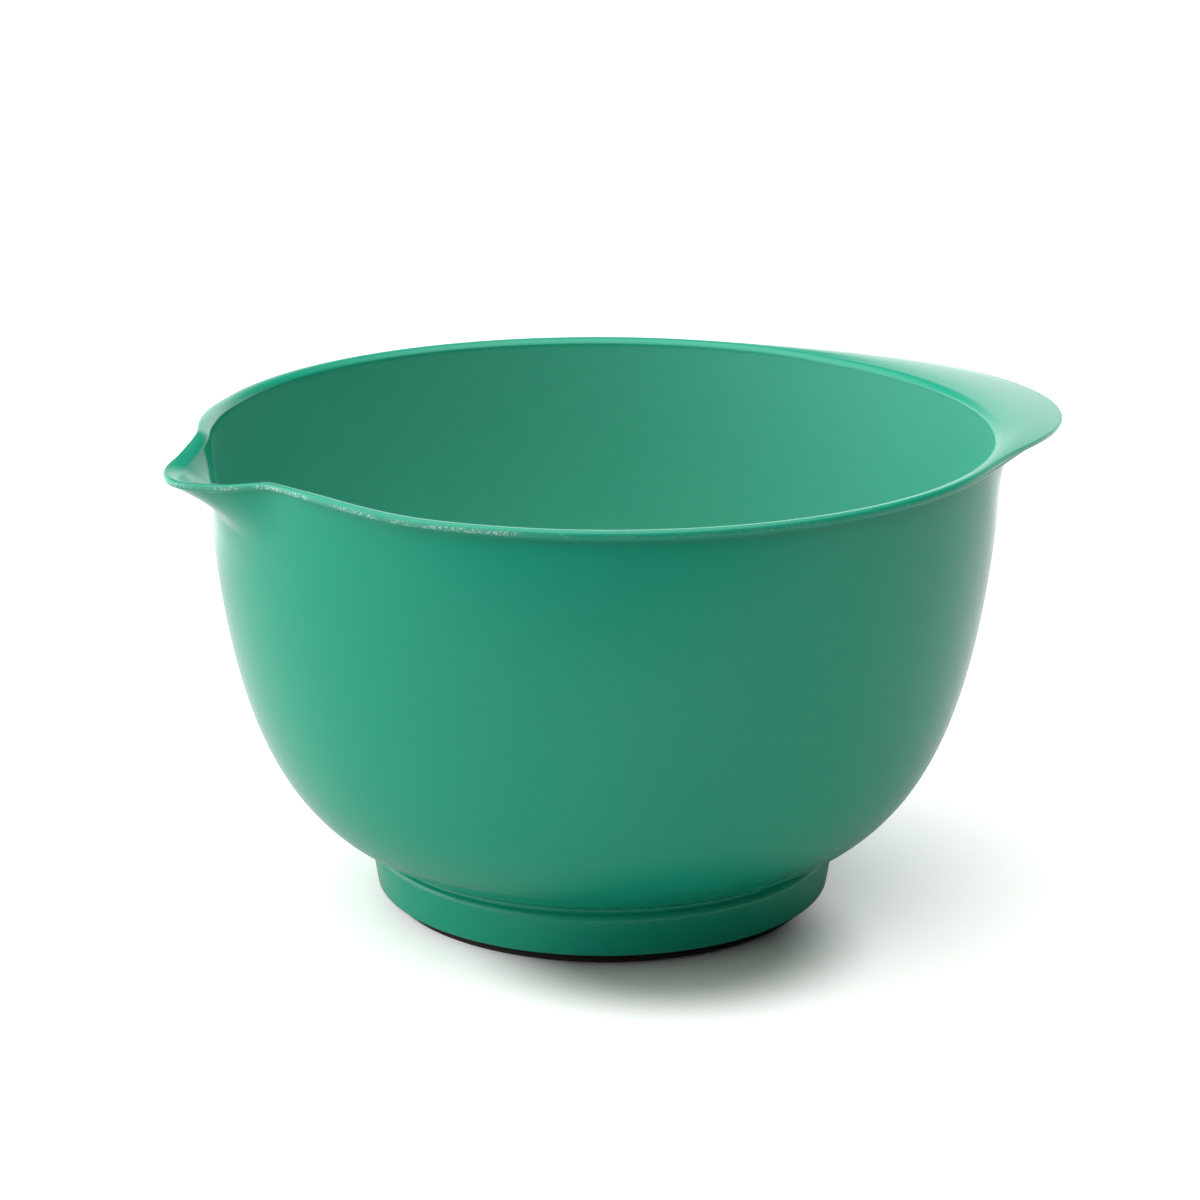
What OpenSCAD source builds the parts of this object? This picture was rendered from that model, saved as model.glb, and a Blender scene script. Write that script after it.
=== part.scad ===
// Mixing bowl: a one-piece melamine bowl with a pouring spout and a thumb handle,
// and the rubber ring pushed into a groove under its foot.
// Origin: the bowl's axis at the height of the table. +Z up, handle towards +X, spout towards -X.

/* [Bowl] */
// Height of the rim above the table
bowl_h = 147; // [138:0.5:156]
// Outside diameter over the rim's lip
rim_d = 243; // [238:1:250]
// Thickness of the moulded wall
wall_t = 3.2; // [2.6:0.1:3.8]
// Height of the base's underside, at the middle of the foot's recess
base_z = 10; // [9.8:0.1:12]
// Radius out to which the base stays nearly flat before it turns up
base_reach = 80; // [74:1:84]

/* [Lip] */
// Depth of the lip's outer face, with its rounded edges
lip_t = 3; // [2.6:0.1:3.6]
// Radius of the lip's outer edges
lip_edge_r = 1.2; // [0.8:0.1:1.3]
// Radius of the small hollow between lip and wall
lip_cove_r = 0.7; // [0.5:0.1:1]
// Radius of the rim's inner edge
lip_inner_r = 2.2; // [1.6:0.1:2.4]

/* [Foot] */
// Outside diameter of the foot at its lower edge
foot_d = 139.4; // [137:0.2:141]
// How far the foot widens up to its shoulder
foot_flare = 1.7; // [0.8:0.1:2]
// Height of the foot's shoulder above the table
shoulder_z = 15; // [14:0.5:15.5]
// Radius of the rounded shoulder
shoulder_r = 2.4; // [1.8:0.1:2.8]

/* [Ring] */
// Outside diameter of the non-slip ring
ring_d = 131.6; // [129:0.2:132]
// Width of the ring across its section
ring_w = 5; // [4.4:0.1:5.4]
// How far the ring stands out below the foot
ring_proud = 3.6; // [2.4:0.1:4]
// How deep the ring sits in its groove
ring_seat = 5; // [4:0.1:5.6]
// Gap between the ring and each side of its groove
ring_gap = 0.05; // [0.02:0.01:0.1]

/* [Handle] */
// How far the handle stands out past the lip
handle_reach = 25.6; // [18:0.2:30]
// Half of the angle that the handle spans around the rim
handle_half_angle = 42; // [36:0.5:48]
// How far the handle's outer edge lies below the rim
handle_drop = 2.2; // [1:0.1:4]
// Thickness of the handle at its outer edge
handle_edge_t = 2.4; // [2.2:0.1:3.4]
// Depth of the handle where it meets the wall
handle_root_t = 8; // [6:0.5:12]

/* [Spout] */
// How far the spout's tip stands out past the lip
spout_reach = 15.6; // [14:0.2:20]
// Tilt of the spout's cone away from upright
spout_tilt = 15.7; // [14:0.1:18]
// Half of the angle of the spout's cone
spout_half_angle = 34.2; // [32:0.2:36]
// Depth of the cone's point below the rim
spout_depth = 33.5; // [31:0.5:36]
// Angle at which the spout's edge falls towards its tip
spout_droop = 7; // [4:0.5:10]

/* [Hidden] */
$fn = 96;
melamine_green = [0.14, 0.48, 0.39];
rubber_brown = [0.11, 0.10, 0.08];
curve_steps = 28;
arc_steps = 6;
over = 1;

rim_r = rim_d / 2;
neck_r = rim_r - lip_edge_r - lip_cove_r;
neck_z = bowl_h - lip_t - lip_cove_r;
// The wall's side line: its lower corner pulls the curve out, and its upper end stands almost upright
wall_line = [
    [0, base_z],
    [base_reach, base_z],
    [neck_r - 6.3, base_z + 6.5],
    [neck_r, neck_z]
];

ring_r = ring_d / 2;
ring_top_z = ring_proud + ring_seat;
ring_round = 0.8;
foot_r = foot_d / 2;
foot_wall = 3.4;
foot_in_r = ring_r - ring_w - foot_wall;
foot_top_z = 22;

handle_tip_r = rim_r + handle_reach;
// The crescent's outer edge is one arc through the tip and both ends on the lip
handle_end = rim_r * [cos(handle_half_angle), sin(handle_half_angle)];
handle_mid_x = (handle_tip_r ^ 2 - handle_end.x ^ 2 - handle_end.y ^ 2) / (2 * (handle_tip_r - handle_end.x));
handle_arc_r = handle_tip_r - handle_mid_x;

// The handle and the spout meet the rim this far below its top
rim_step = 0.2;

spout_tip_r = rim_r + spout_reach;
spout_tip_z = bowl_h - rim_step - spout_reach * tan(spout_droop);
spout_cone_h = 60;

function bezier(p, t) =
    (1 - t) ^ 3 * p[0] + 3 * t * (1 - t) ^ 2 * p[1] + 3 * t ^ 2 * (1 - t) * p[2] + t ^ 3 * p[3];
function bezier_way(p, t) =
    (1 - t) ^ 2 * (p[1] - p[0]) + 2 * t * (1 - t) * (p[2] - p[1]) + t ^ 2 * (p[3] - p[2]);
function inward(v) = [-v.y, v.x] / norm(v);
function arc(middle, r, from, to) =
    [for (i = [0:arc_steps]) middle + r * [
        cos(from + (to - from) * i / arc_steps),
        sin(from + (to - from) * i / arc_steps)
    ]];

outer_side = [for (i = [0:curve_steps]) bezier(wall_line, i / curve_steps)];
inner_side = [for (i = [0:curve_steps])
    bezier(wall_line, i / curve_steps) + wall_t * inward(bezier_way(wall_line, i / curve_steps))
];
inner_top = inner_side[curve_steps];

// Solid of revolution out to the bowl's outside, with the lip
module outside() {
    rotate_extrude()
        polygon(concat(
            outer_side,
            arc([neck_r + lip_cove_r, neck_z], lip_cove_r, 180, 90),
            arc([rim_r - lip_edge_r, bowl_h - lip_t + lip_edge_r], lip_edge_r, -90, 0),
            arc([rim_r - lip_edge_r, bowl_h - lip_edge_r], lip_edge_r, 0, 90),
            [[0, bowl_h]]
        ));
}

// The hollow that the bowl holds its contents in, with the rim's rounded inner edge
module hollow() {
    rotate_extrude()
        polygon(concat(
            [for (i = [0:curve_steps - 1]) inner_side[i]],
            arc([inner_top.x + lip_inner_r, bowl_h - lip_inner_r], lip_inner_r, 180, 90),
            [[inner_top.x + lip_inner_r, bowl_h + over], [0, bowl_h + over]]
        ));
}

// Foot: a ring under the wall, with a rounded shoulder and a narrow neck above it
module foot() {
    shoulder_x = foot_r + foot_flare - shoulder_r;
    rotate_extrude()
        polygon(concat(
            [[foot_in_r, ring_proud], [foot_r, ring_proud]],
            arc([shoulder_x, shoulder_z], shoulder_r, 0, 80),
            [[shoulder_x, foot_top_z], [foot_in_r, foot_top_z]]
        ));
}

module ring_groove() {
    difference() {
        translate([0, 0, ring_proud - over])
            cylinder(h = ring_seat + over, r = ring_r + ring_gap);
        translate([0, 0, ring_proud - 2 * over])
            cylinder(h = ring_seat + 3 * over, r = ring_r - ring_w - ring_gap);
    }
}

// Thumb handle: a sloping collar around the rim, cut to a crescent
module handle() {
    intersection() {
        rotate_extrude()
            polygon([
                [neck_r - over, bowl_h - rim_step],
                [handle_tip_r + over, bowl_h - handle_drop],
                [handle_tip_r + over, bowl_h - handle_drop - handle_edge_t],
                [neck_r - over, bowl_h - handle_root_t]
            ]);
        translate([handle_mid_x, 0, bowl_h / 2])
            cylinder(h = bowl_h, r = handle_arc_r);
    }
}

// A cone that leans out over the rim: drawn in by the wall thickness, it is the spout's channel
module spout_cone(inset) {
    lean = spout_tilt + spout_half_angle;
    translate([-spout_tip_r + spout_depth * tan(lean), 0, spout_tip_z - spout_depth])
        rotate([0, -spout_tilt, 0])
            translate([0, 0, inset / sin(spout_half_angle)])
                cylinder(h = spout_cone_h, r1 = 0, r2 = spout_cone_h * tan(spout_half_angle));
}

module spout() {
    side = 4 * spout_cone_h;
    intersection() {
        spout_cone(0);
        cylinder(h = bowl_h - rim_step, r = spout_tip_r + over);
        translate([-spout_tip_r, 0, spout_tip_z])
            rotate([0, -spout_droop, 0])
                translate([-side / 2, -side / 2, -side])
                    cube(side);
    }
}

module bowl() {
    color(melamine_green)
        difference() {
            union() {
                outside();
                foot();
                handle();
                spout();
            }
            hollow();
            ring_groove();
            spout_cone(wall_t);
        }
}

// Plain rubber ring with rounded lower edges
module non_slip_ring() {
    color(rubber_brown)
        rotate_extrude()
            polygon(concat(
                arc([ring_r - ring_round, ring_round], ring_round, -90, 0),
                [[ring_r, ring_top_z], [ring_r - ring_w, ring_top_z]],
                arc([ring_r - ring_w + ring_round, ring_round], ring_round, 180, 270)
            ));
}

non_slip_ring();
bowl();
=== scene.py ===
"""Mixing bowl: a green melamine bowl with a thumb handle and a pouring spout, on a rubber ring."""

import math

import bpy
from mathutils import Euler, Matrix, Vector


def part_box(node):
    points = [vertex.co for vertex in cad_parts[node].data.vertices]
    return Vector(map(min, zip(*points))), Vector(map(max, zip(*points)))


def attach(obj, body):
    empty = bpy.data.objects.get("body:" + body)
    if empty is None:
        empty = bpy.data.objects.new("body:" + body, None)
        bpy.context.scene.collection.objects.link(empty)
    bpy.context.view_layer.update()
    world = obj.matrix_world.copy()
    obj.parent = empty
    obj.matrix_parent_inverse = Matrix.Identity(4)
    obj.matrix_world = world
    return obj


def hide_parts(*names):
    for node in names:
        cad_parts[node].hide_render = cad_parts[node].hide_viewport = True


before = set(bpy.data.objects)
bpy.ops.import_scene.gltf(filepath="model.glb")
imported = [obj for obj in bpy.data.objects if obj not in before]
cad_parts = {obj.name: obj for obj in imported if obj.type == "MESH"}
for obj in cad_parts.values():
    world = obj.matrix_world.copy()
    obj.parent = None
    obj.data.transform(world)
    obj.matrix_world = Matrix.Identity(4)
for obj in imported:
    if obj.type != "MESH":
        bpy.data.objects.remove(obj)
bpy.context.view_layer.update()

MM = 0.001
DEGREE = math.pi / 180

# Sizes that the frame gives
bowl_low, bowl_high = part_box("bowl")
ring_low, ring_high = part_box("non_slip_ring")
FOOT_Z = bowl_low.z
RIM_Z = bowl_high.z
RIM_R = bowl_high.y
HANDLE_TIP_R = bowl_high.x
SPOUT_TIP_R = -bowl_low.x
RING_R = ring_high.y
RING_TOP_Z = ring_high.z

# Wall
WALL_T = 3.2 * MM
BASE_Z = 10 * MM
BASE_REACH = 80 * MM
# Lip
LIP_T = 2.7 * MM
LIP_EDGE_R = 1.2 * MM
LIP_TOP_EDGE_R = 1.3 * MM
LIP_COVE_R = 0.7 * MM
# Rim: its top rounds down into the bowl, to a small inner corner
RIM_CROWN_R = 4.8 * MM
RIM_CROWN_END = 130
RIM_CORNER_R = 1 * MM
# Foot
FOOT_R = 69.7 * MM
FOOT_FLARE = 1.7 * MM
FOOT_WALL = 3.4 * MM
SHOULDER_Z = 15 * MM
SHOULDER_R = 2.4 * MM
NECK_POCKET_R = 1.2 * MM
BODY_BEAD_R = 4 * MM
RECESS_FILLET_R = 1.6 * MM
FOOT_EDGE_R = 0.6 * MM
GROOVE_EDGE_R = 0.3 * MM
RING_W = 5 * MM
RING_GAP = 0.05 * MM

NECK_R = RIM_R - LIP_EDGE_R - LIP_COVE_R
NECK_Z = RIM_Z - LIP_T - LIP_COVE_R
INNER_R = NECK_R - WALL_T
CROWN_REACH = RIM_CORNER_R - (RIM_CROWN_R - RIM_CORNER_R) * math.cos(RIM_CROWN_END * DEGREE)
CREST_R = INNER_R + CROWN_REACH
WALL_LINE = [
    (0, BASE_Z),
    (BASE_REACH, BASE_Z),
    (NECK_R - 6.3 * MM, BASE_Z + 6.5 * MM),
    (NECK_R, NECK_Z),
]
# Where along the wall line the foot's neck meets it, where the handle's and the spout's undersides end,
# and where the inside's finer steps begin
WALL_START = 0.387
WALL_ROOT = 0.955
WALL_TURN = 0.2

# Handle
HANDLE_HALF_ANGLE = 35.6 * DEGREE
HANDLE_END_FILLET = 28 * MM
HANDLE_DROP = 2.2 * MM
HANDLE_EDGE_T = 1.7 * MM
# Spout: its edge falls by this share of its reach
SPOUT_DROOP = 0.145
SPOUT_EDGE_T = 2.4 * MM
# Around the middle of the spout, the rim swells between the first two angles and is plain past the last
SPOUT_SWELL = (7 * DEGREE, 16 * DEGREE)
SPOUT_RUN_OUT = (20 * DEGREE, 42 * DEGREE)

# What each point of a section line knows: how far it follows the handle and the spout, whether it lies
# under the rim or inside the bowl, and how near it is to the trimmed line around the lip
MARKS = ("shelf", "under", "inner", "trim")
MARKED = 0.0001

STEPS_AROUND = 448
CLOSER_AT_SPOUT = 0.45
JOIN_DISTANCE = 0.008 * MM

# View
VIEW_LENS = 105
VIEW_SENSOR = 36
VIEW_TURN = -24.5 * DEGREE
VIEW_TILT = 16.7066 * DEGREE
VIEW_ROLL = 0.23 * DEGREE
VIEW_AWAY = 1020.1 * MM
VIEW_LEFT = 1.05 * MM
VIEW_HEIGHT = 397.8 * MM
AWAY = Vector((-math.sin(VIEW_TURN), math.cos(VIEW_TURN), 0))
LEFT = Vector((-math.cos(VIEW_TURN), -math.sin(VIEW_TURN), 0))
UP = Vector((0, 0, 1))

# Finishes
OUTSIDE_GREEN = (0.009, 0.365, 0.228, 1)
OUTSIDE_GREEN_DEEP = (0.008, 0.345, 0.214, 1)
# Inside: a paler green, mostly painted light that brightens the inside, partly the whitening of fine
# scratches
INSIDE_GREEN_PAINTED_LIT = (0.078, 0.45, 0.32, 1)
INSIDE_GREEN_PAINTED_LIT_DEEP = (0.072, 0.43, 0.305, 1)
SCRATCH_GREEN = (0.20, 0.52, 0.42, 1)
# Pale flecks along the sanded lip line: painted glints
PAINTED_GLINT_GREEN = (0.62, 0.80, 0.74, 1)
DUST_GREY = (0.22, 0.20, 0.17, 1)
# The lip's sanded line, and the glints painted on it as pale flecks, are strongest beside the spout,
# around this direction
SANDED_GLINTS_WAY = Vector((math.cos(-150 * DEGREE), math.sin(-150 * DEGREE), 0))
SANDED_GLINTS_SPREAD = (0.84, 0.93)
SANDED_GLINTS_ELSEWHERE = 0.15
OUTSIDE_ROUGHNESS = 0.13
INSIDE_ROUGHNESS = 0.42
TRIM_ROUGHNESS = 0.38
RUBBER_BROWN = (0.017, 0.012, 0.009, 1)
RUBBER_BROWN_DEEP = (0.011, 0.008, 0.006, 1)

# Light
BACK_LIGHT = 1.15
BACK_SPREAD = (0.3, 0.8)
BACK_TOP = (0.2, 0.55)
LEFT_LIGHT = 2.1
LEFT_SPREAD = (0.2, 1.1)
LEFT_TOP = (0.2, 0.7)
TOP_LIGHT = 2.5
TOP_SPREAD = (0.5, 1.0)
TOP_WAY = (LEFT * 0.15 - AWAY * 0.05 + UP).normalized()
DIM_LIGHT = 0.08
KEY_POWER = 3.5
KEY_SIZE = (1.0, 0.8)
KEY_DISTANCE = 1.8
KEY_TARGET = (0, 0, 80 * MM)
KEY_WAY = (LEFT * 0.9 + AWAY * 0.1 + UP * 0.4).normalized()
# Floor
FLOOR_HALF = 6
FLOOR_ROUGHNESS = 0.7
FLOOR_GLOW = 2.3
GLOW_START = (340 * MM, 550 * MM)
GLOW_WAY = AWAY + 0.35 * LEFT
GLOW_SPREAD = (150 * MM, 600 * MM)
FLOOR_BOUNCE = (0.65, 0.65, 0.64, 1)
FLOOR_FAR_BOUNCE = (0.15, 0.15, 0.15, 1)
# Painted shade: beside the foot the floor gives the bowl back less light
FLOOR_PAINTED_SHADOW_BOUNCE = (0.08, 0.08, 0.08, 1)
FLOOR_FADE = (220 * MM, 500 * MM)
FLOOR_WHITE = (0.93, 0.92, 0.89, 1)
# Painted shadow beside the foot: a darker white there, where the glow lift also stops
FLOOR_PAINTED_SHADOW = (0.5, 0.52, 0.48, 1)
FLOOR_LIFT = 0.34
# Where the painted shadow on the floor lies, and how far out it fades
PAINTED_SHADOW_AT = LEFT * -20 * MM - AWAY * 50 * MM
PAINTED_SHADOW_REACH = (30 * MM, 66 * MM)


# ---------------------------------------------------------------- section lines


def arc(centre, radius, start, end, steps):
    """Points along an arc, from one angle to another in degrees."""
    angles = [(start + (end - start) * i / steps) * DEGREE for i in range(steps + 1)]
    return [(centre[0] + radius * math.cos(a), centre[1] + radius * math.sin(a)) for a in angles]


def straight(start, end, steps):
    """Points between two ends, without the ends."""
    shares = [i / steps for i in range(1, steps)]
    return [(start[0] + (end[0] - start[0]) * s, start[1] + (end[1] - start[1]) * s) for s in shares]


def turned(degrees):
    """A unit vector at an angle in the section's plane."""
    return Vector((math.cos(degrees * DEGREE), math.sin(degrees * DEGREE)))


def heading(start, end):
    """The angle in degrees from one point towards another."""
    way = end - start
    return math.atan2(way.y, way.x) / DEGREE


def meeting(first, first_r, second, second_r):
    """The outer one of the two points where two circles meet."""
    between = second - first
    gap = between.length
    share = (first_r**2 - second_r**2 + gap**2) / (2 * gap)
    side = math.sqrt(first_r**2 - share**2)
    way = between / gap
    return first + way * share + Vector((way.y, -way.x)) * side


def wall_point(t, inward=0.0):
    """A point on the wall's side line, moved into the bowl by a distance."""
    a, b, c, d = (Vector(p) for p in WALL_LINE)
    u = 1 - t
    point = u**3 * a + 3 * t * u**2 * b + 3 * t**2 * u * c + t**3 * d
    way = (u**2 * (b - a) + 2 * t * u * (c - b) + t**2 * (d - c)).normalized()
    return (point.x - inward * way.y, point.y + inward * way.x)


def wall_points(start, end, steps, inward=0.0):
    """Points along the wall's side line."""
    return [wall_point(start + (end - start) * i / steps, inward) for i in range(steps + 1)]


class Section:
    """A line of (radius, height) points, with their marks."""

    def __init__(self):
        self.points = []
        self.marks = {mark: [] for mark in MARKS}

    def add(self, points, **ends):
        """Adds points. Each named mark runs evenly over them, from a first value to a last one."""
        self.points += points
        steps = max(len(points) - 1, 1)
        for mark in MARKS:
            first, last = ends.get(mark, (0.0, 0.0))
            self.marks[mark] += [first + (last - first) * i / steps for i in range(len(points))]

    def mesh(self, name):
        """The line as a mesh of edges in the XZ plane, with the marks as attributes."""
        mesh = bpy.data.meshes.new(name)
        corners = [(r, 0, z) for r, z in self.points]
        edges = [(i, i + 1) for i in range(len(corners) - 1)]
        mesh.from_pydata(corners, edges, [])
        for mark, values in self.marks.items():
            attribute = mesh.attributes.new(mark, "FLOAT", "POINT")
            attribute.data.foreach_set("value", values)
        return mesh


def bowl_section():
    """From the middle of the underside, over foot, wall and rim, down to the middle of the inside."""
    section = Section()
    recess_r = RING_R - RING_W - FOOT_WALL
    groove_in_r = RING_R - RING_W - RING_GAP
    groove_out_r = RING_R + RING_GAP
    fillet = RECESS_FILLET_R
    edge = GROOVE_EDGE_R

    section.add([(0, BASE_Z)] + straight((0, BASE_Z), (recess_r - fillet, BASE_Z), 9))
    section.add(arc((recess_r - fillet, BASE_Z - fillet), fillet, 90, 0, 6))
    section.add(arc((recess_r + FOOT_EDGE_R, FOOT_Z + FOOT_EDGE_R), FOOT_EDGE_R, 180, 270, 4))
    section.add(arc((groove_in_r - edge, FOOT_Z + edge), edge, 270, 360, 3))
    section.add(arc((groove_in_r + edge, RING_TOP_Z - edge), edge, 180, 90, 3))
    section.add(arc((groove_out_r - edge, RING_TOP_Z - edge), edge, 90, 0, 3))
    section.add(arc((groove_out_r + edge, FOOT_Z + edge), edge, 180, 270, 3))
    section.add(arc((FOOT_R - FOOT_EDGE_R, FOOT_Z + FOOT_EDGE_R), FOOT_EDGE_R, 270, 360, 4))

    shoulder = Vector((FOOT_R + FOOT_FLARE - SHOULDER_R, SHOULDER_Z))
    section.add(straight((FOOT_R, FOOT_Z + FOOT_EDGE_R), (shoulder.x + SHOULDER_R, SHOULDER_Z), 4))
    bead = Vector(wall_point(WALL_START, BODY_BEAD_R))
    pocket = meeting(shoulder, SHOULDER_R + NECK_POCKET_R, bead, BODY_BEAD_R + NECK_POCKET_R)
    shoulder_end = heading(shoulder, pocket)
    pocket_end = heading(pocket, bead)
    bead_end = heading(bead, Vector(wall_point(WALL_START)))
    section.add(arc(shoulder, SHOULDER_R, 0, shoulder_end, 9))
    section.add(arc(pocket, NECK_POCKET_R, shoulder_end + 180, pocket_end, 10)[1:])
    section.add(arc(bead, BODY_BEAD_R, pocket_end - 180, bead_end, 9)[1:-1])
    section.add(wall_points(WALL_START, WALL_ROOT, 34)[:-1])

    cove = (NECK_R + LIP_COVE_R, NECK_Z)
    lip_low = (RIM_R - LIP_EDGE_R, RIM_Z - LIP_T + LIP_EDGE_R)
    lip_high = (RIM_R - LIP_TOP_EDGE_R, RIM_Z - LIP_TOP_EDGE_R)
    crown = Vector((CREST_R, RIM_Z - RIM_CROWN_R))
    corner = crown + (RIM_CROWN_R - RIM_CORNER_R) * turned(RIM_CROWN_END)
    under_side = wall_points(WALL_ROOT, 1, 11) + arc(cove, LIP_COVE_R, 180, 90, 5)[1:-1]
    section.add(under_side, shelf=(1, 1), under=(1, 1 / len(under_side)))
    section.add(arc(lip_low, LIP_EDGE_R, -90, 0, 6), shelf=(1, 1), trim=(0, 1))
    section.add(arc(lip_high, LIP_TOP_EDGE_R, 0, 90, 6), shelf=(1, 1), trim=(1, 0))
    top_steps = 14
    top = straight((lip_high[0], RIM_Z), (CREST_R, RIM_Z), top_steps)
    section.add(top, shelf=(1 - 1 / top_steps, 1 / top_steps))
    section.add(arc(crown, RIM_CROWN_R, 90, RIM_CROWN_END, 7), inner=(1, 1))
    section.add(arc(corner, RIM_CORNER_R, RIM_CROWN_END, 180, 5)[1:], inner=(1, 1))
    section.add(wall_points(1, WALL_ROOT, 16, WALL_T)[:-1], inner=(1, 1))
    section.add(wall_points(WALL_ROOT, WALL_TURN, 30, WALL_T)[:-1], inner=(1, 1))
    section.add(wall_points(WALL_TURN, 0, 8, WALL_T), inner=(1, 1))
    return section


def ring_section():
    """The rubber ring's section: a band with a rounded, slightly hollow standing face."""
    section = Section()
    inner_r = RING_R - RING_W
    top_edge = 0.3 * MM
    foot_edge = 0.9 * MM
    bead_r = 0.35 * MM
    low = ring_low.z
    section.add(arc((RING_R - foot_edge, low + foot_edge), foot_edge, -90, 0, 7))
    section.add(arc((RING_R - top_edge, RING_TOP_Z - top_edge), top_edge, 0, 90, 4))
    section.add(arc((inner_r + top_edge, RING_TOP_Z - top_edge), top_edge, 90, 180, 4))
    section.add(arc((inner_r + foot_edge, low + foot_edge), foot_edge, 180, 270, 7))
    middle = (RING_R + inner_r) / 2
    flat = RING_W / 2 - foot_edge
    for centre in (middle - flat / 2, middle + flat / 2):
        section.add(arc((centre, low), bead_r, 180, 0, 6))
    section.points.append(section.points[0])
    for values in section.marks.values():
        values.append(0.0)
    return section


# ---------------------------------------------------------------- node helpers


class Number:
    """A value in a node tree, which adds, multiplies and compares as a plain number does."""

    def __init__(self, tree, socket):
        self.tree = tree
        self.socket = socket

    def __add__(self, other):
        return calculate(self.tree, "ADD", self, other)

    def __radd__(self, other):
        return calculate(self.tree, "ADD", other, self)

    def __sub__(self, other):
        return calculate(self.tree, "SUBTRACT", self, other)

    def __rsub__(self, other):
        return calculate(self.tree, "SUBTRACT", other, self)

    def __mul__(self, other):
        return calculate(self.tree, "MULTIPLY", self, other)

    def __rmul__(self, other):
        return calculate(self.tree, "MULTIPLY", other, self)

    def __truediv__(self, other):
        return calculate(self.tree, "DIVIDE", self, other)

    def __rtruediv__(self, other):
        return calculate(self.tree, "DIVIDE", other, self)

    def __pow__(self, other):
        return calculate(self.tree, "POWER", self, other)

    def __lt__(self, other):
        return calculate(self.tree, "LESS_THAN", self, other)

    def __gt__(self, other):
        return calculate(self.tree, "GREATER_THAN", self, other)


def feed(tree, socket, value):
    """Links a value made by nodes to a socket, or sets a plain one on it."""
    if isinstance(value, Number):
        tree.links.new(value.socket, socket)
    elif isinstance(value, bpy.types.NodeSocket):
        tree.links.new(value, socket)
    else:
        socket.default_value = value


def calculate(tree, operation, *values):
    """A Math node."""
    node = tree.nodes.new("ShaderNodeMath")
    node.operation = operation
    for socket, value in zip(node.inputs, values):
        feed(tree, socket, value)
    return Number(tree, node.outputs[0])


def root(value):
    return calculate(value.tree, "SQRT", calculate(value.tree, "MAXIMUM", value, 0.0))


def sine(value):
    return calculate(value.tree, "SINE", value)


def cosine(value):
    return calculate(value.tree, "COSINE", value)


def soft_step(value, start, end):
    """0 below start and 1 above end, with a smooth rise between them."""
    node = value.tree.nodes.new("ShaderNodeMapRange")
    node.interpolation_type = "SMOOTHSTEP"
    feed(value.tree, node.inputs["Value"], value)
    feed(value.tree, node.inputs["From Min"], start)
    feed(value.tree, node.inputs["From Max"], end)
    return Number(value.tree, node.outputs["Result"])


def blend(share, first, second):
    """The first value at share 0 and the second at share 1."""
    return first + (second - first) * share


def choose(test, if_true, if_false):
    """One of two values, by a test that is 0 or 1."""
    return if_false + (if_true - if_false) * test


def soft_ramp(value, softness):
    """0 far below 0 and the value itself far above it, with a rounded corner between them."""
    power = calculate(value.tree, "EXPONENT", calculate(value.tree, "MINIMUM", value / softness, 30.0))
    return calculate(value.tree, "LOGARITHM", power + 1.0, math.e) * softness


def along(tree, vector, axis):
    """How far a vector reaches along an axis."""
    node = tree.nodes.new("ShaderNodeVectorMath")
    node.operation = "DOT_PRODUCT"
    feed(tree, node.inputs[0], vector)
    feed(tree, node.inputs[1], axis)
    return Number(tree, node.outputs["Value"])


def distance_from(tree, place, centre):
    """How far a place is from a centre."""
    node = tree.nodes.new("ShaderNodeVectorMath")
    node.operation = "DISTANCE"
    feed(tree, node.inputs[0], place)
    feed(tree, node.inputs[1], centre)
    return Number(tree, node.outputs["Value"])


def parts_of(tree, vector):
    """A vector's X, Y and Z, as numbers."""
    node = tree.nodes.new("ShaderNodeSeparateXYZ")
    feed(tree, node.inputs[0], vector)
    return [Number(tree, socket) for socket in node.outputs]


class Tree:
    """A Geometry Nodes tree or a shader node group, with named inputs and outputs."""

    def __init__(self, name, kind, inputs, outputs):
        self.tree = bpy.data.node_groups.new(name, kind)
        for label, socket, value in inputs:
            made = self.tree.interface.new_socket(label, in_out="INPUT", socket_type=socket)
            if value is not None:
                made.default_value = value
        for label, socket in outputs:
            self.tree.interface.new_socket(label, in_out="OUTPUT", socket_type=socket)
        self.source = self.tree.nodes.new("NodeGroupInput")
        self.sink = self.tree.nodes.new("NodeGroupOutput")

    def node(self, kind, **inputs):
        """A new node, with its inputs set by name."""
        node = self.tree.nodes.new(kind)
        for label, value in inputs.items():
            feed(self.tree, node.inputs[label.replace("_", " ")], value)
        return node

    def take(self, label):
        """One of the tree's named inputs, as a number."""
        return Number(self.tree, self.source.outputs[label])

    def mark(self, name):
        """A named attribute of the mesh, as a number."""
        node = self.node("GeometryNodeInputNamedAttribute", Name=name)
        return Number(self.tree, node.outputs["Attribute"])

    def place(self):
        """The radius, angle and height of each point, as numbers."""
        x, y, z = parts_of(self.tree, self.node("GeometryNodeInputPosition").outputs[0])
        return root(x * x + y * y), calculate(self.tree, "ARCTAN2", y, x), z

    def move_to(self, geometry, radius, angle, height):
        """A Set Position node that puts each point at a radius, angle and height."""
        place = self.node("ShaderNodeCombineXYZ", Z=height)
        feed(self.tree, place.inputs["X"], radius * cosine(angle))
        feed(self.tree, place.inputs["Y"], radius * sine(angle))
        return self.node("GeometryNodeSetPosition", Geometry=geometry, Position=place.outputs[0])


LENGTH = "NodeSocketFloat"
GEOMETRY = "NodeSocketGeometry"


# ---------------------------------------------------------------- shapes


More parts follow.
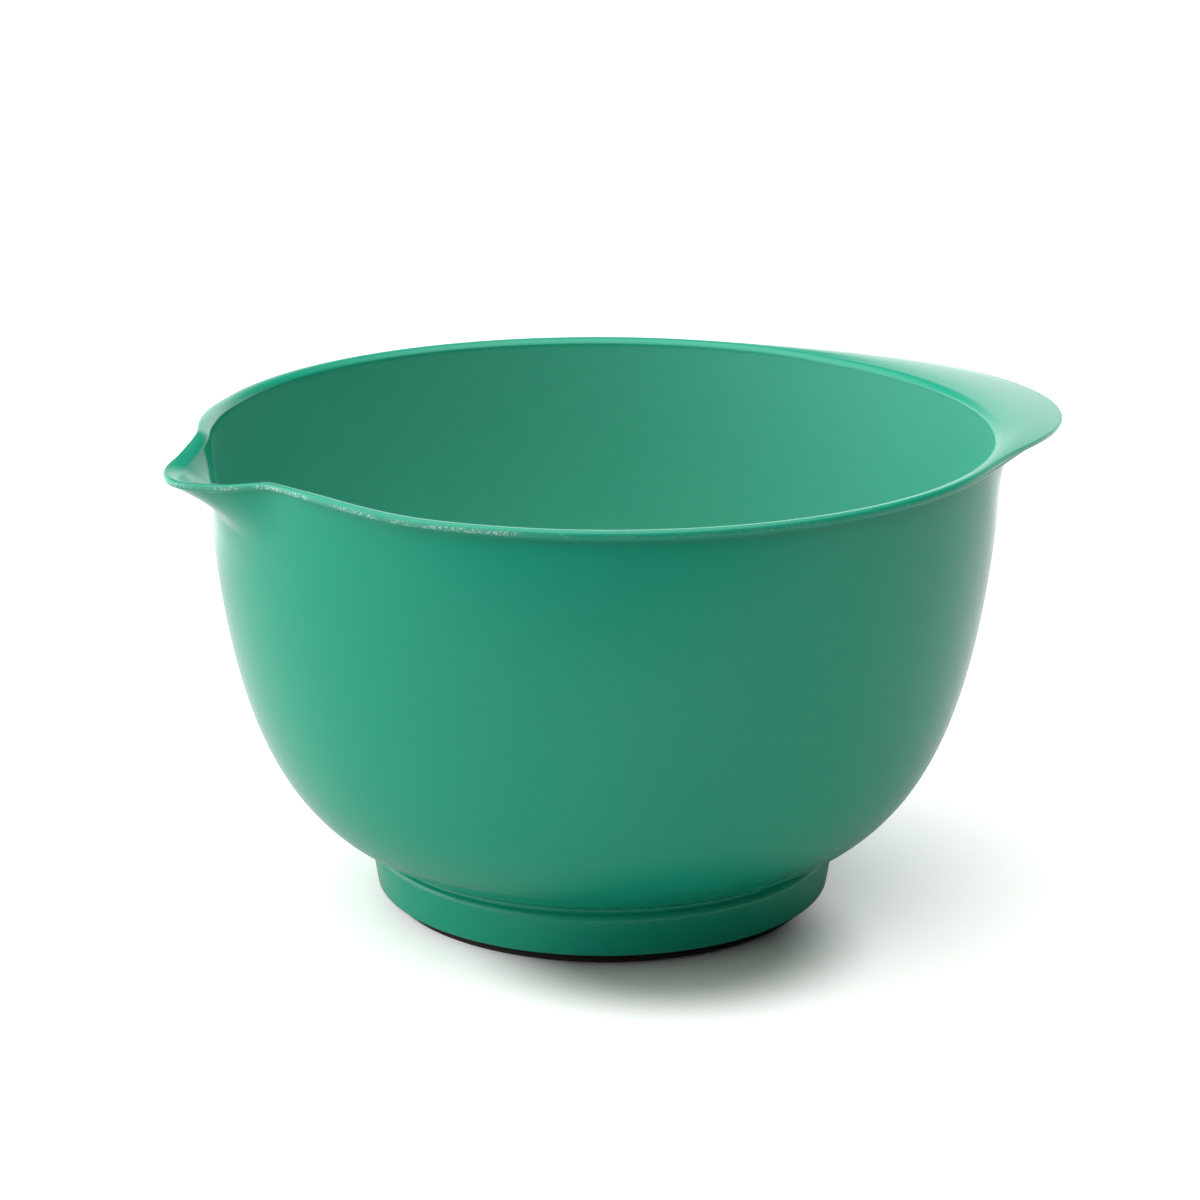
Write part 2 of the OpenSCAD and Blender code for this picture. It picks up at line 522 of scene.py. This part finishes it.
def turned_form():
    """Turns a section line about the Z axis, with steps that can lie closer together at 180 degrees."""
    inputs = [
        ("Section", GEOMETRY, None),
        ("Steps Around", "NodeSocketInt", 256),
        ("Closer Behind", LENGTH, 0.0),
    ]
    made = Tree("turned_form", "GeometryNodeTree", inputs, [("Surface", GEOMETRY)])
    tree = made.tree
    section = made.source.outputs["Section"]
    size = made.node("GeometryNodeAttributeDomainSize", Geometry=section)
    rows = Number(tree, size.outputs["Point Count"])
    steps = made.take("Steps Around")
    grid = made.node("GeometryNodeMeshGrid", Vertices_X=steps + 1, Vertices_Y=rows)
    index = Number(tree, made.node("GeometryNodeInputIndex").outputs[0])
    column = calculate(tree, "FLOOR", (index + 0.5) / rows)
    row = index - column * rows

    surface = grid.outputs["Mesh"]
    for mark in MARKS:
        marks = made.mark(mark)
        sample = made.node("GeometryNodeSampleIndex", Geometry=section, Value=marks, Index=row)
        value = sample.outputs[0]
        stored = made.node("GeometryNodeStoreNamedAttribute", Geometry=surface, Name=mark, Value=value)
        surface = stored.outputs[0]

    position = made.node("GeometryNodeInputPosition")
    sample = tree.nodes.new("GeometryNodeSampleIndex")
    sample.data_type = "FLOAT_VECTOR"
    feed(tree, sample.inputs["Geometry"], section)
    feed(tree, sample.inputs["Value"], position.outputs[0])
    feed(tree, sample.inputs["Index"], row)
    radius, _, height = parts_of(tree, sample.outputs[0])
    turn = column / steps * (2 * math.pi)
    angle = turn + sine(turn) * made.take("Closer Behind")
    placed = made.move_to(surface, radius, angle, height)
    feed(tree, made.sink.inputs["Surface"], placed.outputs[0])
    return tree


def thumb_handle():
    """Draws the rim out to a crescent around angle 0, thin at its edge and filleted below."""
    inputs = [
        ("Geometry", GEOMETRY, None),
        ("Rim Radius", LENGTH, 0.12),
        ("Rim Height", LENGTH, 0.15),
        ("Tip Radius", LENGTH, 0.145),
        ("Half Angle", LENGTH, 0.76),
        ("End Fillet", LENGTH, 0.01),
        ("Drop", LENGTH, 0.002),
        ("Lip Thickness", LENGTH, 0.003),
        ("Edge Thickness", LENGTH, 0.0025),
        ("Root Radius", LENGTH, 0.119),
        ("Root Height", LENGTH, 0.13),
        ("Root Slope", LENGTH, 0.07),
        ("Root Fillet", LENGTH, 1 * MM),
        ("Root Hollow", LENGTH, 0.12),
        ("Crown Dip", LENGTH, 0.5 * MM),
        ("Crown Share", LENGTH, 0.45),
        ("Thinned By", LENGTH, 5 * MM),
        ("Dipped By", LENGTH, 12 * MM),
    ]
    made = Tree("thumb_handle", "GeometryNodeTree", inputs, [("Geometry", GEOMETRY)])
    tree = made.tree
    radius, angle, height = made.place()
    shelf = made.mark("shelf")
    under = made.mark("under")
    rim = made.take("Rim Radius")
    top = made.take("Rim Height")
    tip = made.take("Tip Radius")
    half = made.take("Half Angle")

    # The outer edge is one arc through the tip and both ends on the rim
    centre = (tip * tip - rim * rim) / (2.0 * (tip - rim * cosine(half)))
    arc_r = tip - centre
    across = centre * sine(angle)
    edge = centre * cosine(angle) + root(arc_r * arc_r - across * across)
    reach = calculate(tree, "SMOOTH_MAX", edge - rim, 0.0, made.take("End Fillet"))
    share = reach / (tip - rim)
    drop = made.take("Drop") * share
    on = soft_step(reach, 0.0, made.take("Thinned By"))

    thinner = made.take("Edge Thickness") / made.take("Lip Thickness")
    depth = (top - height) * blend(on * shelf, 1.0, thinner)
    upper_r = radius + reach * shelf
    near_crown = calculate(tree, "MAXIMUM", 1.0 - shelf / made.take("Crown Share"), 0.0)
    dip = made.take("Crown Dip") * soft_step(reach, 0.0, made.take("Dipped By"))
    upper_z = top - drop * shelf * shelf - dip * near_crown * near_crown - depth

    # The underside runs from the edge to the wall on one curve
    edge_r = rim - LIP_EDGE_R + reach
    edge_z = top - drop - blend(on, made.take("Lip Thickness"), made.take("Edge Thickness"))
    wall_r = made.take("Root Radius")
    wall_z = made.take("Root Height")
    t = calculate(tree, "POWER", under, 0.8)
    u = 1.0 - t
    w0 = u * u * u
    w1 = 3.0 * t * u * u
    w2 = 3.0 * t * t * u
    w3 = t * t * t
    root_z = edge_z - made.take("Root Fillet")
    root_r = wall_r + (root_z - wall_z) * made.take("Root Slope")
    bend_r = blend(made.take("Root Hollow"), root_r, edge_r)
    curve_r = w0 * edge_r + w1 * bend_r + w2 * root_r + w3 * wall_r
    curve_z = (w0 + w1) * edge_z + w2 * root_z + w3 * wall_z
    is_under = under > MARKED
    below = is_under * on
    drawn_r = blend(below, choose(is_under, radius, upper_r), curve_r)
    drawn_z = blend(below, choose(is_under, height, upper_z), curve_z)
    on_rim = shelf > MARKED
    new_r = choose(on_rim, drawn_r, radius)
    crown_z = height - dip * made.mark("inner") * soft_step(height, wall_z, top - LIP_T)
    new_z = choose(on_rim, drawn_z, crown_z)
    placed = made.move_to(made.source.outputs["Geometry"], new_r, angle, new_z)
    feed(tree, made.sink.inputs["Geometry"], placed.outputs[0])
    return tree


def pouring_spout():
    """Draws rim and wall out to a rounded point around angle 180: a channel inside, a flare below."""
    inputs = [
        ("Geometry", GEOMETRY, None),
        ("Rim Radius", LENGTH, 0.12),
        ("Rim Height", LENGTH, 0.15),
        ("Tip Radius", LENGTH, 0.138),
        ("Tip Rounding", LENGTH, 0.02),
        ("Side Slope", LENGTH, 0.8),
        ("Side Fillet", LENGTH, 0.004),
        ("Droop", LENGTH, 0.145),
        ("Crease Depth", LENGTH, 12.5 * MM),
        ("Crease Half Angle", LENGTH, 0.4),
        ("Crease Softness", LENGTH, 2.6 * MM),
        ("Crease Outset", LENGTH, 0.8 * MM),
        ("Crest Setback", LENGTH, 1 * MM),
        ("Flare Power", LENGTH, 1.6),
        ("Lip Thickness", LENGTH, 0.003),
        ("Edge Thickness", LENGTH, 0.0021),
        ("Root Height", LENGTH, 0.13),
        ("Rise", LENGTH, 1.7 * MM),
    ]
    made = Tree("pouring_spout", "GeometryNodeTree", inputs, [("Geometry", GEOMETRY)])
    tree = made.tree
    radius, angle, height = made.place()
    shelf = made.mark("shelf")
    under = made.mark("under")
    inner = made.mark("inner")
    rim = made.take("Rim Radius")
    top = made.take("Rim Height")
    rounding = made.take("Tip Rounding")
    slope = made.take("Side Slope")

    # The outline in plan: two straight sides with a round tip between them, which run out on the rim
    forward = -1.0 * cosine(angle)
    across = calculate(tree, "ABSOLUTE", sine(angle))
    off = calculate(tree, "ARCTAN2", across, forward)
    tip_centre = made.take("Tip Radius") - rounding
    side_scale = root(1.0 + slope * slope)
    leading = calculate(tree, "MAXIMUM", forward + slope * across, 0.3)
    side = (tip_centre + rounding * side_scale) / leading
    tip_off = tip_centre * across
    tip = tip_centre * forward + root(rounding * rounding - tip_off * tip_off)
    touch = rounding * slope / side_scale / (tip_centre + rounding / side_scale)
    near_tip = (across < touch * forward) * (forward > 0.0)
    outline = choose(near_tip, tip, side)
    facing = off < calculate(tree, "ARCTANGENT", slope)
    spread = calculate(tree, "SMOOTH_MAX", outline - rim, 0.0, made.take("Side Fillet"))
    reach = choose(facing, spread, 0.0)

    crease_end = made.take("Crease Half Angle")
    opened = 1.0 - soft_step(off, crease_end * 0.72, crease_end * 1.15)
    lip_gone = 1.0 - soft_step(off, *SPOUT_RUN_OUT)
    edge_t = blend(lip_gone, made.take("Lip Thickness"), made.take("Edge Thickness"))
    fall = made.take("Droop") * reach
    rise = made.take("Rise") * soft_step(off, *SPOUT_SWELL) * lip_gone

    # Inside, the channel starts at a soft crease that is deepest in the middle
    share = off / crease_end
    crease = made.take("Crease Depth") * root(1.0 - share * share)
    soft = made.take("Crease Softness")
    depth = top - height
    factor = soft_ramp(crease - depth, soft) / soft_ramp(crease, soft)
    outset = opened * made.take("Crease Outset")
    setback = opened * made.take("Crest Setback")
    inner_r = radius + (reach + outset * (1.0 - factor) + setback) * factor
    inner_z = height - fall * factor + rise * factor

    # The rim's top and face move out together, and the face gets thinner
    upper_r = radius + reach + setback * (1.0 - shelf)
    upper_z = top - fall + rise - depth * edge_t / made.take("Lip Thickness")

    # Below, the wall flares out to the edge
    edge_r = rim - LIP_EDGE_R + reach
    edge_z = top - fall + rise - edge_t
    t = calculate(tree, "POWER", under, 1.5)
    flare = (1.0 - t) ** made.take("Flare Power")
    lower_z = edge_z + (made.take("Root Height") - edge_z) * t
    wall_slip = (NECK_R - wall_point(WALL_ROOT)[0]) * t
    lower_r = NECK_R + (edge_r - NECK_R) * flare - wall_slip
    is_under = under > MARKED
    plain_r = radius + reach * flare
    plain_z = height + (rise - fall) * flare
    below_r = blend(lip_gone, plain_r, lower_r)
    below_z = blend(lip_gone, plain_z, lower_z)

    on_rim = choose(is_under, 0.0, shelf > MARKED)
    is_inner = inner > 0.5
    new_r = choose(is_inner, inner_r, choose(is_under, below_r, choose(on_rim, upper_r, radius)))
    new_z = choose(is_inner, inner_z, choose(is_under, below_z, choose(on_rim, upper_z, height)))
    placed = made.move_to(made.source.outputs["Geometry"], new_r, angle, new_z)
    feed(tree, made.sink.inputs["Geometry"], placed.outputs[0])
    return tree


def set_group(made, group, **inputs):
    """A group node in a geometry tree, with its inputs set by name."""
    node = made.tree.nodes.new("GeometryNodeGroup")
    node.node_tree = group
    for label, value in inputs.items():
        feed(made.tree, node.inputs[label.replace("_", " ")], value)
    return node


def finishing(made, surface):
    """Joins the seam and the poles, shades smooth, and ends as a plain mesh with its material."""
    joined = made.node("GeometryNodeMergeByDistance", Geometry=surface, Distance=JOIN_DISTANCE)
    smooth = made.node("GeometryNodeSetShadeSmooth", Geometry=joined.outputs[0])
    plain = made.node("GeometryNodeRealizeInstances", Geometry=smooth.outputs[0])
    painted = made.node("GeometryNodeSetMaterial", Geometry=plain.outputs[0])
    feed(made.tree, painted.inputs["Material"], made.source.outputs["Material"])
    feed(made.tree, made.sink.inputs["Geometry"], painted.outputs[0])


SHARED_INPUTS = [
    ("Section", GEOMETRY, None),
    ("Material", "NodeSocketMaterial", None),
    ("Steps Around", "NodeSocketInt", STEPS_AROUND),
]


def bowl_tree():
    """The whole bowl: its section turned, then the handle and the spout drawn out of the rim."""
    sizes = {
        "Handle Tip Radius": HANDLE_TIP_R,
        "Handle Half Angle": HANDLE_HALF_ANGLE,
        "Handle End Fillet": HANDLE_END_FILLET,
        "Handle Drop": HANDLE_DROP,
        "Handle Edge": HANDLE_EDGE_T,
        "Spout Tip Radius": SPOUT_TIP_R,
        "Spout Droop": SPOUT_DROOP,
        "Spout Edge": SPOUT_EDGE_T,
    }
    inputs = SHARED_INPUTS + [(label, LENGTH, value) for label, value in sizes.items()]
    made = Tree("melamine_bowl", "GeometryNodeTree", inputs, [("Geometry", GEOMETRY)])
    root_r, root_z = wall_point(WALL_ROOT)
    above_r, above_z = wall_point(WALL_ROOT + 0.002)
    root_slope = (above_r - root_r) / (above_z - root_z)
    surface = set_group(
        made,
        turned_form(),
        Section=made.source.outputs["Section"],
        Steps_Around=made.take("Steps Around"),
        Closer_Behind=CLOSER_AT_SPOUT,
    )
    handled = set_group(
        made,
        thumb_handle(),
        Geometry=surface.outputs[0],
        Rim_Radius=RIM_R,
        Rim_Height=RIM_Z,
        Tip_Radius=made.take("Handle Tip Radius"),
        Half_Angle=made.take("Handle Half Angle"),
        End_Fillet=made.take("Handle End Fillet"),
        Drop=made.take("Handle Drop"),
        Lip_Thickness=LIP_T,
        Edge_Thickness=made.take("Handle Edge"),
        Root_Radius=root_r,
        Root_Height=root_z,
        Root_Slope=root_slope,
    )
    spouted = set_group(
        made,
        pouring_spout(),
        Geometry=handled.outputs[0],
        Rim_Radius=RIM_R,
        Rim_Height=RIM_Z,
        Tip_Radius=made.take("Spout Tip Radius"),
        Droop=made.take("Spout Droop"),
        Lip_Thickness=LIP_T,
        Edge_Thickness=made.take("Spout Edge"),
        Root_Height=root_z,
    )
    finishing(made, spouted.outputs[0])
    return made.tree


def ring_tree():
    """The rubber ring: its section turned, with nothing drawn out."""
    made = Tree("rubber_ring", "GeometryNodeTree", SHARED_INPUTS, [("Geometry", GEOMETRY)])
    surface = set_group(
        made,
        turned_form(),
        Section=made.source.outputs["Section"],
        Steps_Around=made.take("Steps Around"),
    )
    finishing(made, surface.outputs[0])
    return made.tree


def grown(name, section, tree, material, **sizes):
    """A plain mesh object that a section line and a Geometry Nodes tree make."""
    piece = bpy.data.objects.new(name, section.mesh(name + "_section"))
    bpy.context.scene.collection.objects.link(piece)
    modifier = piece.modifiers.new("form", "NODES")
    modifier.node_group = tree
    values = {"Material": material} | {label.replace("_", " "): value for label, value in sizes.items()}
    for item in tree.interface.items_tree:
        if item.in_out == "INPUT" and item.name in values:
            modifier[item.identifier] = values[item.name]
    bpy.context.view_layer.update()
    shape = piece.evaluated_get(bpy.context.evaluated_depsgraph_get())
    mesh = bpy.data.meshes.new_from_object(shape)
    piece.modifiers.remove(modifier)
    piece.data = mesh
    return piece


# ---------------------------------------------------------------- finishes


def principled(name):
    """A new material, with its tree and its Principled shader."""
    material = bpy.data.materials.new(name)
    material.use_nodes = True
    tree = material.node_tree
    return material, tree, tree.nodes["Principled BSDF"]


def tinted(tree, share, first, second):
    """One colour at share 0 and another at share 1."""
    node = tree.nodes.new("ShaderNodeMix")
    node.data_type = "RGBA"
    feed(tree, node.inputs[0], share)
    feed(tree, node.inputs[6], first)
    feed(tree, node.inputs[7], second)
    return node.outputs[2]


def place_on_piece(tree):
    """Where a point lies on its piece, in metres."""
    return tree.nodes.new("ShaderNodeTexCoord").outputs["Object"]


def piece_mark(tree, name):
    """A mark that the piece's mesh carries from its section line."""
    node = tree.nodes.new("ShaderNodeAttribute")
    node.attribute_name = name
    return Number(tree, node.outputs["Fac"])


def mottle(tree, place, size, detail, distortion=0.0):
    """Soft noise between 0 and 1, at a size in metres."""
    node = tree.nodes.new("ShaderNodeTexNoise")
    values = {"Vector": place, "Scale": 1.0 / size, "Detail": detail, "Distortion": distortion}
    for label, value in values.items():
        feed(tree, node.inputs[label], value)
    return Number(tree, node.outputs[0])


def moulded_grain_group():
    """The faint ripple and grain of a moulded surface, and a slow drift over the whole piece."""
    inputs = [
        ("Place", "NodeSocketVector", None),
        ("Ripple Size", LENGTH, 5 * MM),
        ("Grain Size", LENGTH, 0.5 * MM),
        ("Grain Share", LENGTH, 0.2),
        ("Drift Size", LENGTH, 60 * MM),
    ]
    made = Tree("moulded_grain", "ShaderNodeTree", inputs, [("Height", LENGTH), ("Drift", LENGTH)])
    place = made.source.outputs["Place"]
    ripple = mottle(made.tree, place, made.take("Ripple Size"), 1.0)
    grain = mottle(made.tree, place, made.take("Grain Size"), 3.0)
    drift = mottle(made.tree, place, made.take("Drift Size"), 2.0, 0.4)
    feed(made.tree, made.sink.inputs["Height"], blend(made.take("Grain Share"), ripple, grain))
    feed(made.tree, made.sink.inputs["Drift"], drift)
    return made.tree


def table_wear_group():
    """Dust and rub marks low on a piece, near the table: thin all over, and thicker in patches."""
    inputs = [
        ("Place", "NodeSocketVector", None),
        ("Worn Height", LENGTH, 4 * MM),
        ("Patch Size", LENGTH, 3 * MM),
        ("Amount", LENGTH, 0.5),
    ]
    made = Tree("table_wear", "ShaderNodeTree", inputs, [("Worn", LENGTH)])
    place = made.source.outputs["Place"]
    height = parts_of(made.tree, place)[2]
    low = 1.0 - soft_step(height, 0.0, made.take("Worn Height"))
    patches = soft_step(mottle(made.tree, place, made.take("Patch Size"), 4.0), 0.42, 0.68)
    feed(made.tree, made.sink.inputs["Worn"], low * blend(patches, 0.35, 1.0) * made.take("Amount"))
    return made.tree


def shader_group(tree, group, place, **inputs):
    """A shader group placed in a material, with its inputs set by name: its outputs, as numbers."""
    node = tree.nodes.new("ShaderNodeGroup")
    node.node_tree = group
    feed(tree, node.inputs["Place"], place)
    for label, value in inputs.items():
        feed(tree, node.inputs[label.replace("_", " ")], value)
    return [Number(tree, socket) for socket in node.outputs]


def stirring_marks(tree, place):
    """Fine scratches that whisks and spoons leave: long around the bowl, and very narrow across."""
    x, y, z = parts_of(tree, place)
    radius = root(x * x + y * y)
    angle = calculate(tree, "ARCTAN2", y, x)
    marks = 0.0
    for width, length, lean in ((0.45 * MM, 30 * MM, 0.012), (0.7 * MM, 22 * MM, -0.02)):
        spiral = angle * lean
        stretched = tree.nodes.new("ShaderNodeCombineXYZ")
        feed(tree, stretched.inputs["X"], (radius + spiral) / width)
        feed(tree, stretched.inputs["Y"], sine(angle) * BASE_REACH / length)
        feed(tree, stretched.inputs["Z"], (z + spiral) / width)
        marks = soft_step(mottle(tree, stretched.outputs[0], 1.0, 1.0), 0.60, 0.74) + marks
    return marks


def sanded_line_and_glints(tree, place, radius):
    """The line sanded around the lip, broken into flecks: rougher, with pale flecks that are painted
    glints, strongest to one side of the spout.
    """
    line = soft_step(piece_mark(tree, "trim"), 0.55, 0.95)
    flecks = soft_step(mottle(tree, place, 0.55 * MM, 2.0), 0.50, 0.60)
    stretches = soft_step(mottle(tree, place, 9 * MM, 2.0), 0.38, 0.56)
    near_spout = soft_step(along(tree, place, SANDED_GLINTS_WAY) / radius, *SANDED_GLINTS_SPREAD)
    return line * blend(flecks * stretches, 0.12, 1.0) * blend(near_spout, SANDED_GLINTS_ELSEWHERE, 1.0)


def bumped(tree, shader, height, distance):
    """A bump on a shader's normal, from a height between 0 and 1."""
    bump = tree.nodes.new("ShaderNodeBump")
    bump.inputs["Strength"].default_value = 1.0
    bump.inputs["Distance"].default_value = distance
    feed(tree, bump.inputs["Height"], height)
    feed(tree, shader.inputs["Normal"], bump.outputs[0])


def green_melamine(grain_group, wear_group):
    """Glossy outside, on the rim and in the spout; inside satin and finely scratched, its green painted
    paler as painted light. Pale flecks along the sanded lip line are painted glints.
    """
    material, tree, shader = principled("green_melamine")
    place = place_on_piece(tree)
    ripple, drift = shader_group(
        tree,
        grain_group,
        place,
        Ripple_Size=5 * MM,
        Grain_Size=0.4 * MM,
        Grain_Share=0.12,
        Drift_Size=70 * MM,
    )
    wear = {"Worn_Height": 7 * MM, "Patch_Size": 2 * MM, "Amount": 0.25}
    (worn,) = shader_group(tree, wear_group, place, **wear)
    marks = stirring_marks(tree, place)
    x, y, z = parts_of(tree, place)
    radius = root(x * x + y * y)
    in_channel = soft_step(radius, INNER_R + 0.4 * MM, INNER_R + 1.6 * MM)
    below_rim = soft_step(RIM_Z - z, 1.2 * MM, 3 * MM)
    inside = piece_mark(tree, "inner") * below_rim * (1.0 - in_channel)
    # The sanded line: a rougher finish, with the pale flecks of its painted glints
    trim = sanded_line_and_glints(tree, place, radius)

    outer = tinted(tree, drift, OUTSIDE_GREEN_DEEP, OUTSIDE_GREEN)
    # Painted light: the inside's green is paler so that the inside looks brighter
    inner = tinted(tree, drift, INSIDE_GREEN_PAINTED_LIT_DEEP, INSIDE_GREEN_PAINTED_LIT)
    green = tinted(tree, inside, outer, inner)
    scratched = tinted(tree, marks * inside * 0.10, green, SCRATCH_GREEN)
    # Painted glints: pale flecks along the sanded lip line
    with_painted_glints = tinted(tree, trim * 0.75, scratched, PAINTED_GLINT_GREEN)
    feed(tree, shader.inputs["Base Color"], tinted(tree, worn, with_painted_glints, DUST_GREY))
    gloss = blend(inside, OUTSIDE_ROUGHNESS + drift * 0.04, INSIDE_ROUGHNESS + marks * 0.06)
    feed(tree, shader.inputs["Roughness"], blend(trim, gloss, TRIM_ROUGHNESS) + worn * 0.4)
    shader.inputs["Specular IOR Level"].default_value = 0.36
    bumped(tree, shader, ripple + marks * inside * -0.25, 0.012 * MM)
    return material


def ring_rubber(grain_group, wear_group):
    """Matt dark brown rubber with a fine grain, dusty where it stands on the table."""
    material, tree, shader = principled("ring_rubber")
    place = place_on_piece(tree)
    grain, drift = shader_group(
        tree,
        grain_group,
        place,
        Ripple_Size=1.6 * MM,
        Grain_Size=0.22 * MM,
        Grain_Share=0.7,
        Drift_Size=25 * MM,
    )
    wear = {"Worn_Height": 2.2 * MM, "Patch_Size": 0.8 * MM, "Amount": 0.22}
    (worn,) = shader_group(tree, wear_group, place, **wear)
    brown = tinted(tree, drift, RUBBER_BROWN_DEEP, RUBBER_BROWN)
    feed(tree, shader.inputs["Base Color"], tinted(tree, worn, brown, DUST_GREY))
    feed(tree, shader.inputs["Roughness"], 0.62 + grain * 0.2 + worn * 0.15)
    shader.inputs["Specular IOR Level"].default_value = 0.35
    bumped(tree, shader, grain, 0.05 * MM)
    return material


# ---------------------------------------------------------------- camera, floor and light


def aim(thing, place, target):
    """Puts a camera or a lamp at a place, turned towards a target."""
    thing.location = place
    thing.rotation_euler = (Vector(target) - Vector(place)).to_track_quat("-Z", "Y").to_euler()


def camera():
    """The camera, in front of the bowl and a little above it."""
    view = bpy.data.cameras.new("view")
    view.lens = VIEW_LENS
    view.sensor_width = VIEW_SENSOR
    body = bpy.data.objects.new("view", view)
    bpy.context.scene.collection.objects.link(body)
    body.location = LEFT * VIEW_LEFT - AWAY * VIEW_AWAY + UP * VIEW_HEIGHT
    facing = Euler((math.pi / 2 - VIEW_TILT, 0, VIEW_TURN)).to_matrix()
    body.rotation_euler = (facing @ Matrix.Rotation(VIEW_ROLL, 3, "Z")).to_euler()
    bpy.context.scene.camera = body


def floor():
    """A white floor with a painted shadow beside the foot. What the bowl gets back from it is dimmer in
    front and brighter behind, and painted darker beside the foot.
    """
    mesh = bpy.data.meshes.new("floor")
    ends = (-FLOOR_HALF, FLOOR_HALF)
    corners = [(ends[i], ends[j], 0) for i, j in ((0, 0), (1, 0), (1, 1), (0, 1))]
    mesh.from_pydata(corners, [], [(0, 1, 2, 3)])
    sheet = bpy.data.objects.new("floor", mesh)
    bpy.context.scene.collection.objects.link(sheet)
    material, tree, shader = principled("floor_white")
    place = place_on_piece(tree)
    # Painted shadow: 0 beside the foot, 1 on the open floor
    outside_painted_shadow = soft_step(distance_from(tree, place, PAINTED_SHADOW_AT), *PAINTED_SHADOW_REACH)

    # What is seen of it: white, with a painted shadow beside the foot: a darker colour there, and no
    # glow lift
    shader.inputs["Roughness"].default_value = FLOOR_ROUGHNESS
    feed(tree, shader.inputs["Base Color"], tinted(tree, outside_painted_shadow, FLOOR_PAINTED_SHADOW, FLOOR_WHITE))
    # The floor glows so that it reads white, except in the painted shadow
    lift = glowing(tree, outside_painted_shadow * FLOOR_LIFT)
    seen = added(tree, shader, lift)

    # What the bowl gets back from it, painted darker in the painted shadow beside the foot
    in_front = soft_step(along(tree, place, -AWAY), *FLOOR_FADE)
    bounce = tinted(tree, in_front, FLOOR_BOUNCE, FLOOR_FAR_BOUNCE)
    dimmed = tree.nodes.new("ShaderNodeBsdfDiffuse")
    feed(tree, dimmed.inputs["Color"], tinted(tree, outside_painted_shadow, FLOOR_PAINTED_SHADOW_BOUNCE, bounce))
    behind = soft_step(along(tree, place, GLOW_WAY), *GLOW_SPREAD)
    past_bowl = soft_step(distance_from(tree, place, (0, 0, 0)), *GLOW_START)
    given = added(tree, dimmed, glowing(tree, behind * past_bowl * FLOOR_GLOW))

    pick = tree.nodes.new("ShaderNodeMixShader")
    feed(tree, pick.inputs[0], tree.nodes.new("ShaderNodeLightPath").outputs["Is Camera Ray"])
    feed(tree, pick.inputs[1], given.outputs[0])
    feed(tree, pick.inputs[2], seen.outputs[0])
    feed(tree, tree.nodes["Material Output"].inputs["Surface"], pick.outputs[0])
    mesh.materials.append(material)


def glowing(tree, strength):
    """An Emission shader of a strength that can change over the surface."""
    node = tree.nodes.new("ShaderNodeEmission")
    feed(tree, node.inputs["Strength"], strength)
    return node


def added(tree, first, second):
    """Two shaders added together."""
    node = tree.nodes.new("ShaderNodeAddShader")
    feed(tree, node.inputs[0], first.outputs[0])
    feed(tree, node.inputs[1], second.outputs[0])
    return node


def studio():
    """A white backdrop, light from the back, the left and above, and a dim side towards the viewer."""
    world = bpy.data.worlds.new("studio")
    bpy.context.scene.world = world
    world.use_nodes = True
    tree = world.node_tree
    way = tree.nodes.new("ShaderNodeTexCoord").outputs["Generated"]
    up = along(tree, way, UP)
    back = soft_step(along(tree, way, AWAY), *BACK_SPREAD) * BACK_LIGHT
    back = back * (1.0 - soft_step(up, *BACK_TOP))
    left = soft_step(along(tree, way, LEFT), *LEFT_SPREAD) * LEFT_LIGHT
    left = left * blend(soft_step(up, *LEFT_TOP), 1.0, 0.5)
    above = soft_step(along(tree, way, TOP_WAY), *TOP_SPREAD) * TOP_LIGHT
    seen = Number(tree, tree.nodes.new("ShaderNodeLightPath").outputs["Is Camera Ray"])
    background = tree.nodes["Background"]
    background.inputs["Color"].default_value = (1, 1, 1, 1)
    feed(tree, background.inputs["Strength"], choose(seen, 1.0, back + left + above + DIM_LIGHT))
    lamp = bpy.data.lights.new("key", "AREA")
    lamp.shape = "RECTANGLE"
    lamp.size, lamp.size_y = KEY_SIZE
    lamp.energy = KEY_POWER
    body = bpy.data.objects.new("key", lamp)
    bpy.context.scene.collection.objects.link(body)
    aim(body, KEY_WAY * KEY_DISTANCE, KEY_TARGET)
    bpy.context.scene.view_settings.view_transform = "Standard"


# ---------------------------------------------------------------- the object

camera()
floor()
studio()

moulded_grain = moulded_grain_group()
table_wear = table_wear_group()

bowl = grown(
    "melamine_bowl",
    bowl_section(),
    bowl_tree(),
    green_melamine(moulded_grain, table_wear),
    Handle_Tip_Radius=HANDLE_TIP_R,
    Handle_Half_Angle=HANDLE_HALF_ANGLE,
    Handle_End_Fillet=HANDLE_END_FILLET,
    Handle_Drop=HANDLE_DROP,
    Handle_Edge=HANDLE_EDGE_T,
    Spout_Tip_Radius=SPOUT_TIP_R,
    Spout_Droop=SPOUT_DROOP,
    Spout_Edge=SPOUT_EDGE_T,
)
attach(bowl, "bowl")
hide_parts("bowl")

ring = grown("rubber_ring", ring_section(), ring_tree(), ring_rubber(moulded_grain, table_wear))
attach(ring, "ring")
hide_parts("non_slip_ring")
